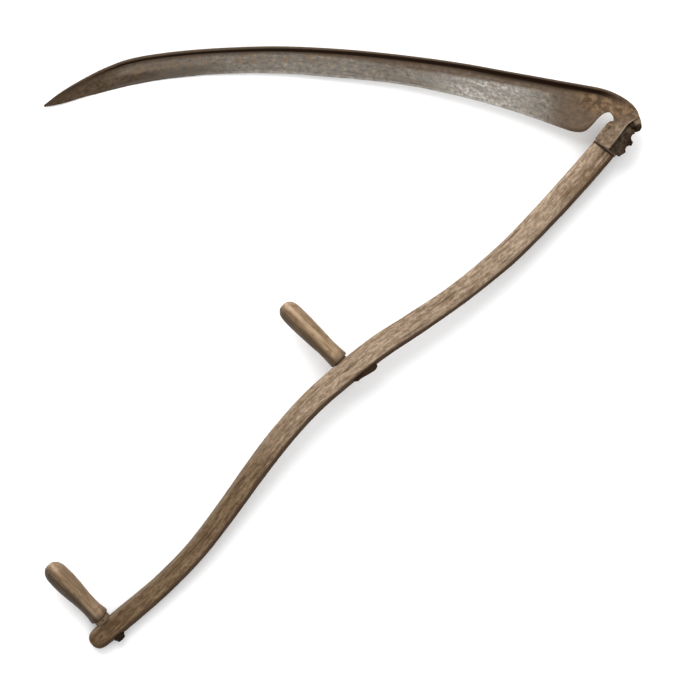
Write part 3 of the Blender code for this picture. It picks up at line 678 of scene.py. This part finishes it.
def seat_depths(tree, centre, out, radius, points, default):
    """How far out from the centre the pole's surface lies, round a circle about the line."""
    side, up = line_frame(out)
    depths = []
    for turn in np.arange(points) * 2 * math.pi / points:
        offset = (side * math.cos(turn) + up * math.sin(turn)) * radius
        origin = centre + offset + out * 60
        hit = tree.ray_cast(Vector(origin * MM), Vector(-out), 0.06)
        depths.append(default if hit[0] is None else (np.array(hit[0]) / MM - centre) @ out)
    return np.maximum(np.array(depths), default)


def rings_at(centre, out, points, steps):
    """Rings about a line from (radius, heights) steps; heights may differ round a ring."""
    side, up = line_frame(out)
    turn = np.arange(points) * 2 * math.pi / points
    flat = np.outer(np.cos(turn), side) + np.outer(np.sin(turn), up)
    return [centre + flat * radius + np.outer(np.broadcast_to(heights, points), out)
            for radius, heights in steps]


def make_collar(name, tree):
    """An iron collar whose back follows the pole and whose front flares to seat the grip."""
    nib = NIBS[name]
    centre, out = joint_line(name + "_turn")
    start, front, wide = nib["start"], nib["seat"], nib["collar"]
    outer = seat_depths(tree, centre, out, wide - 0.2, COLLAR_POINTS, start) + GAP
    inner = seat_depths(tree, centre, out, ROD_RADIUS + 1.0, COLLAR_POINTS, start) + GAP
    outer = np.minimum(outer, front - 1.6)
    bore = ROD_RADIUS + 0.4
    rings = rings_at(centre, out, COLLAR_POINTS, [
        (bore, inner), (wide - 0.7, outer), (wide - 0.15, outer + 0.35),
        (wide, outer * 0.5 + front * 0.5), (wide - 0.1, front - 0.9), (wide - 0.7, front - 0.2),
        (wide - 1.6, front), (bore, front)])
    piece = ring_skin(name + "_collar_fine", rings)
    return place(piece, "pole", "iron", name + "_collar", "collar_iron")


def make_rod(name):
    nib = NIBS[name]
    centre, out = joint_line(name + "_turn")
    back, end = nib["rod_back"], nib["seat"] + ROD_REACH
    profile = [(0.5, -back + 0.05), (1.6, -back + 0.1), (2.8, -back + 0.4),
               (ROD_RADIUS - 0.3, -back + 1.1), (ROD_RADIUS - 0.05, -back + 2.2),
               (ROD_RADIUS - 0.05, end), (ROD_RADIUS - 0.6, end + 1.0)]
    make_turned(name + "_rod_fine", "pole", "bolt_iron", name + "_rod", (centre, out), profile,
                36, 0.12)


def make_keeper():
    """The tapped iron wedge behind the upper nib, thick end up the pole."""
    centre, out = joint_line("upper_nib_turn")
    up_pole = unit(np.array([out[1], -out[0], 0]))
    around = np.linspace(-1, 1, 25)
    rings = []
    for along, thick, half_height in smooth_rows(KEEPER_SECTIONS, 10):
        middle = centre + up_pole * along
        surface = 19.0 + 0.04 * along
        depth = -thick * (1 - np.abs(around) ** 3.2)
        ring = middle + np.outer(depth - surface, out)
        ring = ring + np.outer(around * half_height * 0.86, [0, 0, 1])
        inside = middle + np.outer([2.5 - surface] * 5, out)
        inside = inside + np.outer(np.linspace(0.8, -0.8, 5) * half_height, [0, 0, 1])
        rings.append(np.vstack([ring, inside]))
    rings = np.array(rings)
    rings += (0.25 * lumps(rings, 0.12, 12))[:, :, None] * -out
    place(skin("keeper_fine", rings), "pole", "iron", "upper_nib_keeper", "keeper_iron")


def make_lower_fastening(tree):
    centre, out = joint_line("lower_nib_turn")
    seat, wide = LOWER_SEAT, LOWER_WASHER_RADIUS
    depth = seat_depths(tree, centre, -out, 8.6, WASHER_POINTS, 12.0) + GAP
    depth = np.minimum(depth, seat - 1.6)
    rings = rings_at(centre, -out, WASHER_POINTS, [
        (WASHER_BORE, 13.0), (8.5, depth), (wide, depth + 0.4), (wide, seat - 0.6), (8.4, seat),
        (WASHER_BORE, seat)])
    place(ring_skin("seat_washer", rings), "pole", "bolt_iron", "lower_nib_washer")
    start = centre - out * (seat + GAP + LOWER_NUT_THICKNESS)
    rings = square_nut_rings(start, out, LOWER_NUT_HALF_WIDTH, LOWER_NUT_THICKNESS,
                             LOWER_NUT_TURN, NUT_BORE)
    place(ring_skin("back_nut", rings), "lower_nib_nut", "bolt_iron", "lower_nib_nut")


# Materials --------------------

def tone(red, green, blue):
    """The surface colour that looks like this screen colour, from 0 to 255, in the studio."""
    def light(value):
        value /= 255.0
        return value / 12.92 if value <= 0.04045 else ((value + 0.055) / 1.055) ** 2.4
    return (*(light(value) / STUDIO_LIGHT for value in (red, green, blue)), 1.0)


def opaque(red, green, blue):
    return (red, green, blue, 1.0)


class Look:
    """A material's node tree, its colour so far, and short calls for the nodes looks share."""

    def __init__(self, name):
        self.material = bpy.data.materials.new(name)
        self.material.use_nodes = True
        self.tree = self.material.node_tree
        self.tree.nodes.clear()
        self.shader = self.node("BsdfPrincipled")
        self.node("OutputMaterial", {0: self.shader.outputs[0]})
        self.grain = self.node("Attribute", attribute_name="grain").outputs["Vector"]
        self.object = self.node("TexCoord").outputs["Object"]
        self.colour = None

    def feed(self, socket, value):
        if hasattr(value, "links"):
            self.tree.links.new(value, socket)
        else:
            socket.default_value = value

    def node(self, kind, inputs=None, **settings):
        """A new node with its settings made and its inputs, by name or number, fed."""
        node = self.tree.nodes.new("ShaderNode" + kind)
        for name, setting in settings.items():
            setattr(node, name, setting)
        for socket, value in (inputs or {}).items():
            self.feed(node.inputs[socket], value)
        return node

    def noise(self, vector, scale, detail, roughness, distortion=0.0, shift=(0, 0, 0)):
        """Noise over a vector, which three scales stretch along its own axes."""
        if isinstance(scale, tuple):
            mapping = {"Vector": vector, "Scale": scale, "Location": shift}
            vector, scale = self.node("Mapping", mapping).outputs[0], 1.0
        return self.node("TexNoise", {
            "Vector": vector, "Scale": scale, "Detail": detail, "Roughness": roughness,
            "Distortion": distortion}).outputs["Fac"]

    def value(self, name):
        return self.node("Attribute", attribute_name=name).outputs["Fac"]

    def near(self, point, inner, outer):
        """One inside a distance of a point in the grain, fading out at a second distance."""
        node = self.node("VectorMath", {0: self.grain, 1: point}, operation="DISTANCE")
        return self.span(node.outputs["Value"], outer, inner)

    def parts(self):
        """The three parts of the grain coordinates."""
        outputs = self.node("SeparateXYZ", {0: self.grain}).outputs
        return outputs[0], outputs[1], outputs[2]

    def ramp(self, value, *stops, colour_of=tone):
        """A colour ramp through (position, red, green, blue) stops."""
        node = self.node("ValToRGB", {0: value})
        elements = node.color_ramp.elements
        while len(elements) < len(stops):
            elements.new(0.5)
        for element, (position, *colour) in zip(elements, stops):
            element.position = position
            element.color = colour_of(*colour)
        return node.outputs[0]

    def span(self, value, low, high, start=0.0, end=1.0):
        """A value taken smoothly from one range to another."""
        limits = {0: value, 1: low, 2: high, 3: start, 4: end}
        return self.node("MapRange", limits, interpolation_type="SMOOTHSTEP").outputs[0]

    def math(self, operation, first, second):
        return self.node("Math", {0: first, 1: second}, operation=operation).outputs[0]

    def mix(self, amount, first, second, blend="MIX"):
        inputs = {0: amount, 6: first, 7: second}
        return self.node("Mix", inputs, data_type="RGBA", blend_type=blend).outputs[2]

    def share(self, strength, *limits):
        """A strength times every limit: a value as it is, or the arguments of a span."""
        product = None
        for limit in limits:
            value = self.span(*limit) if isinstance(limit, tuple) else limit
            product = value if product is None else self.math("MULTIPLY", product, value)
        return product if strength == 1 else self.math("MULTIPLY", product, strength)

    def cover(self, colour, strength, *limits):
        """Lay a screen colour, or another ramp, over the colour so far within limits."""
        if isinstance(colour, tuple):
            colour = tone(*colour)
        self.colour = self.mix(self.share(strength, *limits), self.colour, colour)

    def darken(self, colour, amount):
        self.colour = self.mix(amount, self.colour, colour, "MULTIPLY")

    def finish(self, roughness, bumps, metallic=0.0, specular=0.5, ior=1.2):
        """The material, with (height, distance) bumps laid one on another."""
        sockets = {"Base Color": self.colour, "Roughness": roughness, "Metallic": metallic,
                   "Specular IOR Level": specular, "IOR": ior}
        for height, distance in bumps:
            inputs = {"Strength": 1.0, "Distance": distance, "Height": height}
            if "Normal" in sockets:
                inputs["Normal"] = sockets["Normal"]
            sockets["Normal"] = self.node("Bump", inputs).outputs[0]
        for socket, value in sockets.items():
            self.feed(self.shader.inputs[socket], value)
        return self.material


def ash_wood():
    """Weathered ash: grey-tan fibres, dark checks, dirt towards the butt, painted shade on the
    flanks and a painted highlight down the left side.
    """
    look = Look("weathered_ash")
    along, across, _ = look.parts()
    fibre = look.noise(look.grain, (42, 270, 270), 6.0, 0.66, 0.4)
    speck = look.noise(look.grain, (140, 330, 330), 4.0, 0.65, 0.0, (2, 2, 5))
    bands = look.noise(look.grain, (3.0, 60, 60), 3.0, 0.5, 0.6, (3, 1, 2))
    patches = look.noise(look.grain, (30, 80, 80), 5.0, 0.65, 0.5, (7, 0, 0))
    checks = look.noise(look.grain, (11, 300, 300), 2.0, 0.5, 0.2, (1, 5, 9))
    look.colour = look.ramp(fibre, (0.3, 106, 85, 67), (0.45, 150, 129, 108),
                            (0.58, 177, 155, 132), (0.74, 204, 183, 159))
    look.cover((110, 94, 78), 0.55, (speck, 0.5, 0.62))
    look.cover((204, 181, 155), 0.55, (speck, 0.46, 0.34))
    look.cover((131, 109, 87), 0.35, (bands, 0.44, 0.66))
    look.cover((118, 98, 79), 0.5, (patches, 0.5, 0.68))

    # The lower half is browner, with dirt at the butt and darker stretches further up.
    worn = look.span(along, 0.33, 0.53, 1.0, 0.0)
    look.darken(opaque(0.485, 0.43, 0.36), worn)
    look.darken(opaque(0.66, 0.62, 0.58), look.span(along, 0.15, 0.004, 0.0, 0.85))
    stretches = look.ramp(along, (0.47, 0.93, 0.93, 0.93), (0.57, 0.95, 0.95, 0.95),
                          (0.62, 1, 1, 1), (0.68, 0.85, 0.84, 0.83), (0.78, 0.82, 0.81, 0.8),
                          (0.87, 0.96, 0.96, 0.96), colour_of=opaque)
    look.darken(stretches, 1.0)

    # A painted highlight down the left side, painted shade down the right side, a darker stretch
    # before the heel, dark checks, and painted shade on the flank, the underside and the end at the
    # socket's mouth.
    look.cover((152, 141, 126), 0.22, (across, -0.0095, -0.014), worn)
    half_width = look.span(along, 0.0, 1.0, 0.0164, 0.0192)
    look.cover((82, 65, 49), 1, (look.math("DIVIDE", across, half_width), 0.6, 0.74),
               (patches, 0.3, 0.7, 0.95, 0.7))
    look.cover((98, 77, 57), 0.8, (along, 0.93, 1.03), (across, -0.008, 0.004),
               (patches, 0.38, 0.54))
    look.cover((66, 51, 38), 0.6, (checks, 0.61, 0.7))
    # Painted shade wherever the shade attribute is set: flank, underside and socket end.
    look.cover(look.ramp(fibre, (0.3, 50, 36, 24), (0.7, 82, 63, 46)), 1, look.value("shade"),
               (patches, 0.3, 0.7, 0.97, 0.85))
    return look.finish(look.span(fibre, 0.3, 0.7, 0.84, 0.6),
                       [(bands, 0.0008), (fibre, 0.0005), (checks, -0.0004)], specular=0.12)


def grip_wood(name, highlight_from, dark, low, mid, high):
    """Grips with a painted highlight along their tops, and painted shade down their sides and at
    their bases.
    """
    look = Look(name)
    height, side, _ = look.parts()
    fibre = look.noise(look.grain, (30, 320, 320), 5.0, 0.62, 0.3, (2, 0, 4))
    bands = look.noise(look.grain, (7, 70, 70), 3.0, 0.5, 0.8, (0, 6, 1))
    patches = look.noise(look.object, 95.0, 4.0, 0.6)
    look.colour = look.ramp(fibre, (0.3, *low), (0.52, *mid), (0.78, *high))
    look.cover(low, 0.5, (bands, 0.45, 0.7))
    look.cover(low, 0.7, (patches, 0.52, 0.66))
    # Painted highlight along the crest, from a given height up.
    off_highlight = look.math("ABSOLUTE", look.math("ADD", side, 0.0042), 0.0)
    look.cover(high, 1, (off_highlight, 0.0054, 0.0006),
               (height, highlight_from, highlight_from + 0.02, 0.15, 1.0),
               (fibre, 0.35, 0.6, 0.35, 0.85))
    # Painted shade down one side of the grip.
    painted_shade = look.mix(look.share(0.45, (fibre, 0.42, 0.68)), tone(*dark), tone(*low))
    look.cover(painted_shade, 0.95, (side, -0.0015, 0.0095))
    # Painted shade at the base, where the grip meets its seat.
    look.cover(dark, 0.7, (height, 0.014, 0.0))
    return look.finish(look.span(patches, 0.35, 0.7, 0.42, 0.6),
                       [(bands, 0.0006), (fibre, 0.0003)], specular=0.35, ior=1.34)


def blade_steel():
    """Old scythe steel: brown patina, a scoured silver stretch with a painted reflection, rust
    towards the heel, painted shade and shadow along the back.
    """
    look = Look("scythe_steel")
    along, edge, back = look.parts()
    clouds = look.noise(look.grain, (10, 34, 0), 5.0, 0.62, 0.4)
    mottle = look.noise(look.grain, (105, 150, 0), 4.0, 0.7, 0.0, (3, 3, 0))
    blotch = look.noise(look.object, (105, 105, 21), 3.0, 0.62, 0.2)
    speck = look.noise(look.grain, (270, 300, 0), 3.0, 0.65)
    streak = look.noise(look.grain, (18, 320, 0), 3.0, 0.6, 0.4)
    fleck = look.noise(look.grain, (170, 210, 0), 3.0, 0.6, 0.0, (5, 0, 0))
    look.colour = look.ramp(mottle, (0.32, 90, 84, 78), (0.44, 120, 118, 113),
                            (0.55, 134, 127, 117), (0.68, 170, 156, 139))
    look.cover((152, 126, 100), 0.75, (speck, 0.54, 0.64))
    look.cover((92, 91, 90), 0.7, (speck, 0.44, 0.34))
    look.cover((104, 92, 80), 0.4, (clouds, 0.42, 0.66))
    look.cover((84, 71, 59), 0.5, (streak, 0.55, 0.72))

    # Painted shadow of the raised back on the web, brown beside the back and wider towards the
    # heel.
    shadow_width = look.span(along, 0.33, 0.6, 0.0095, 0.0235)
    look.cover((98, 81, 66), 1, (look.math("DIVIDE", back, shadow_width), 1.0, 0.75),
               (mottle, 0.3, 0.7, 0.92, 0.65))

    # The scoured stretch past the middle, with a painted reflection on it.
    scour_and_glint = look.ramp(fleck, (0.36, 136, 132, 126), (0.5, 168, 163, 155),
                      (0.62, 206, 200, 192))
    scour_and_glint = look.mix(look.share(0.75, (mottle, 0.5, 0.64)), scour_and_glint, tone(126, 114, 100))
    look.cover(scour_and_glint, 1, (along, 0.57, 0.66), (along, 0.765, 0.715), (back, 0.018, 0.025),
               (clouds, 0.66, 0.4, 0.35, 1.0))

    # The point's half: duller, grey and then dark along its edge, warm along its back.
    look.cover((92, 77, 62), 0.6, (along, 0.34, 0.16))
    look.cover((88, 79, 71), 0.8, (along, 0.34, 0.22), (edge, 0.022, 0.012))
    look.cover((68, 54, 41), 1, (along, 0.2, 0.15), (edge, 0.019, 0.014),
               (edge, 0.003, 0.007), (mottle, 0.38, 0.6, 1.0, 0.6))
    look.cover((124, 102, 80), 0.6, (blotch, 0.5, 0.58), (along, 0.5, 0.4),
               (back, 0.032, 0.022))
    look.cover(look.ramp(mottle, (0.35, 60, 48, 36), (0.65, 90, 75, 60)), 1,
               (along, 0.15, 0.08), (blotch, 0.3, 0.7, 1.0, 0.75))

    # The heel's half: plain brown, rust, and the tang's rubbed metal.
    plain = look.ramp(mottle, (0.34, 88, 74, 60), (0.5, 104, 87, 71), (0.66, 112, 94, 78))
    cool = look.share(0.7, (speck, 0.5, 0.6), (along, 0.83, 0.79))
    look.cover(look.mix(cool, plain, tone(96, 92, 88)), 0.95, (along, 0.76, 0.8))
    look.cover((80, 66, 52), 0.8, (edge, 0.0085, 0.0015), (along, 0.79, 0.82))
    rust = look.ramp(blotch, (0.42, 90, 72, 55), (0.48, 106, 85, 65), (0.535, 110, 90, 71),
                     (0.56, 128, 103, 78), (0.66, 134, 109, 83))
    rust = look.mix(look.share(0.6, (speck, 0.54, 0.62)), rust, tone(84, 66, 50))
    look.cover(rust, 1, (along, 0.805, 0.84), (back, 0.046, 0.03),
               (along, 0.915, 0.895, 0.1, 1.0))
    look.cover(look.ramp(mottle, (0.36, 98, 80, 63), (0.5, 126, 107, 88),
                         (0.64, 160, 141, 119)), 0.85, (along, 0.902, 0.922))

    # Painted shade under the back, a painted highlight on the tang's edge, the crease dark with
    # painted shadow and dirt, and the crown above it.
    look.cover((72, 57, 44), 0.7, (back, 0.015, 0.0085), (along, 0.9, 0.87))
    look.cover((52, 39, 28), 0.85, (back, 0.0165, 0.008), (along, 0.62, 0.7),
               (along, 0.845, 0.8))
    # Painted highlight on the tang's edge.
    look.cover((156, 138, 118), 0.75, (back, 0.0046, 0.002), (along, 0.904, 0.91),
               (along, 0.95, 0.928))
    # Painted shadow, with dirt, in the crease under the bead.
    reach = look.span(along, 0.08, 0.7, 0.002, 0.0044)
    middle = look.span(along, 0.72, 0.8, 0.006, 0.007)
    off = look.math("ABSOLUTE", look.math("SUBTRACT", back, middle), 0.0)
    look.cover((34, 21, 12), 0.98, (look.math("DIVIDE", off, reach), 1.0, 0.45),
               (along, 0.88, 0.845), (along, 0.06, 0.13))
    look.cover((86, 72, 59), 1, (back, 0.0038, 0.0024), (along, 0.9, 0.86),
               (mottle, 0.35, 0.65, 0.85, 0.5))

    # The honed edge.
    look.cover((176, 171, 163), 1, (edge, 0.005, 0.0015), (along, 0.8, 0.74),
               (along, 0.16, 0.4), (blotch, 0.3, 0.62, 0.85, 0.2))
    return look.finish(look.span(mottle, 0.3, 0.7, 0.66, 0.46),
                       [(blotch, 0.0005), (mottle, 0.0003), (speck, 0.0003)], metallic=0.2,
                       specular=0.1)


def hook_steel():
    """The hook: a painted highlight where it leaves the back, and near-black towards its tip as
    painted shade.
    """
    look = Look("hook_steel")
    mottle = look.noise(look.object, 240.0, 4.0, 0.65)
    # Near-black all over: painted shade.
    look.colour = look.ramp(mottle, (0.35, 26, 16, 9), (0.65, 52, 38, 26))
    # Painted highlight towards the root.
    look.cover(look.ramp(mottle, (0.35, 92, 76, 60), (0.65, 140, 120, 98)), 1,
               (look.parts()[0], 0.906, 0.911), (mottle, 0.35, 0.6, 0.7, 1.0))
    return look.finish(0.6, [(mottle, 0.0005)], metallic=0.3, specular=0.15)


def iron(name, size, dark, low, mid, high):
    """Forged iron gone brown: mottled rust with rubbed, lighter rises and fine pits."""
    look = Look(name)
    mottle = look.noise(look.object, size, 5.0, 0.65, 0.3)
    pits = look.noise(look.object, size * 4.5, 3.0, 0.6)
    look.colour = look.ramp(mottle, (0.3, *low), (0.46, *mid), (0.6, *mid), (0.74, *high))
    look.cover(dark, 0.6, (pits, 0.54, 0.68))
    # Painted shade wherever the shade attribute is set, such as the socket's mouth.
    look.cover((30, 21, 14), 1, look.value("shade"))
    return look.finish(look.span(mottle, 0.3, 0.75, 0.8, 0.5),
                       [(mottle, 0.0005), (pits, 0.0003)], metallic=0.25, specular=0.15)


def plate_iron():
    """The toothed plate: brown-black, greyer beside the tang, black with painted shade in its
    hollow, and black by its teeth.
    """
    look = Look("plate_iron")
    along, across, _ = look.parts()
    mottle = look.noise(look.grain, 150.0, 5.0, 0.65, 0.3)
    look.colour = look.ramp(mottle, (0.36, 44, 33, 24), (0.46, 58, 46, 36), (0.58, 70, 58, 47),
                            (0.7, 84, 70, 57))
    look.cover((92, 86, 80), 1, (across, 0.028, 0.02), (along, 0.045, 0.035),
               (mottle, 0.4, 0.52, 0.3, 0.85))
    look.cover(look.ramp(mottle, (0.38, 92, 74, 57), (0.5, 121, 102, 83),
                         (0.62, 152, 133, 112)), 1, (across, 0.013, 0.009))
    look.cover((108, 89, 70), 0.65, look.near((0.0455, 0.026, 0.043), 0.0015, 0.0065))
    # Painted shade: black in the hollow beside the hook.
    look.cover((20, 12, 7), 1, look.near((0.059, 0.024, 0.043), 0.006, 0.0115))
    look.cover((30, 21, 13), 0.8, look.near((0.031, 0.042, 0.043), 0.003, 0.01))
    return look.finish(look.span(mottle, 0.3, 0.75, 0.8, 0.5), [(mottle, 0.0003)],
                       metallic=0.25, specular=0.12)


# Studio --------------------

def make_studio():
    floor = bpy.data.meshes.new("floor")
    corners = ((-1, -1), (1, -1), (1, 1), (-1, 1))
    floor.from_pydata([(x * FLOOR_REACH, y * FLOOR_REACH, -FLOOR_DROP) for x, y in corners], [],
                      [(0, 1, 2, 3)])
    ground = bpy.data.objects.new("studio_floor", floor)
    bpy.context.scene.collection.objects.link(ground)
    paper = bpy.data.materials.new("pale_floor")
    paper.use_nodes = True
    shader = paper.node_tree.nodes["Principled BSDF"]
    shader.inputs["Base Color"].default_value = (0.95, 0.95, 0.95, 1)
    shader.inputs["Roughness"].default_value = 0.9
    shader.inputs["Specular IOR Level"].default_value = 0.1
    floor.materials.append(paper)

    world = bpy.data.worlds.new("studio")
    bpy.context.scene.world = world
    world.use_nodes = True
    background = world.node_tree.nodes["Background"]
    background.inputs[0].default_value = (1, 1, 1, 1)
    background.inputs[1].default_value = 1.05

    key = bpy.data.lights.new("key", "AREA")
    key.shape = "DISK"
    key.size = 6.0
    key.energy = 450.0
    lamp = bpy.data.objects.new("key", key)
    lamp.location = KEY_PLACE
    lamp.rotation_euler = (Vector((0, 0, 0)) - lamp.location).to_track_quat("-Z", "Y").to_euler()
    bpy.context.scene.collection.objects.link(lamp)


def make_camera():
    camera = bpy.data.cameras.new("camera")
    camera.sensor_width = 36.0
    camera.lens = camera.sensor_width * CAMERA_DISTANCE / VIEW_WIDTH
    holder = bpy.data.objects.new("camera", camera)
    holder.location = (*VIEW_CENTRE, CAMERA_DISTANCE + 0.03)
    bpy.context.scene.collection.objects.link(holder)
    bpy.context.scene.camera = holder


# Grip woods: where the painted highlight starts; irons: the size of their mottling.  Then their
# dark, low, middle and high tones; a grip's dark tone is its painted shade.
GRIP_WOODS = {
    "upper_grip": (0.030, (70, 53, 36), (112, 88, 61), (142, 117, 88), (182, 156, 129)),
    "lower_grip": (0.086, (50, 36, 22), (102, 80, 57), (128, 104, 78), (166, 143, 118)),
}
IRONS = {
    "socket_iron": (150.0, (76, 61, 48), (100, 83, 67), (126, 108, 90), (156, 138, 118)),
    "collar_iron": (170.0, (52, 40, 30), (84, 66, 50), (118, 97, 76), (160, 140, 116)),
    "keeper_iron": (110.0, (28, 18, 11), (42, 30, 20), (58, 43, 30), (78, 60, 44)),
    "bolt_iron": (190.0, (18, 11, 6), (28, 19, 12), (44, 32, 22), (74, 59, 45)),
    "bolt_head": (260.0, (66, 52, 40), (96, 80, 64), (132, 114, 94), (176, 158, 136)),
}
MATERIALS = {
    "ash_wood": ash_wood(), "blade_steel": blade_steel(), "hook_steel": hook_steel(),
    "plate_iron": plate_iron(),
    **{name: grip_wood(name, *values) for name, values in GRIP_WOODS.items()},
    **{name: iron(name, *values) for name, values in IRONS.items()},
}

pole = make_pole()
pole_tree = BVHTree.FromPolygons([v.co for v in pole.data.vertices],
                                 [p.vertices for p in pole.data.polygons])
make_socket()
make_plate()
make_heel_fixings()
make_pivot_nut()
make_blade()
make_hook()
for nib_name in NIBS:
    make_grip(nib_name)
    make_collar(nib_name, pole_tree)
    make_rod(nib_name)
make_keeper()
make_lower_fastening(pole_tree)
make_studio()
make_camera()

bpy.context.scene.view_settings.view_transform = "Standard"
bpy.context.view_layer.update()
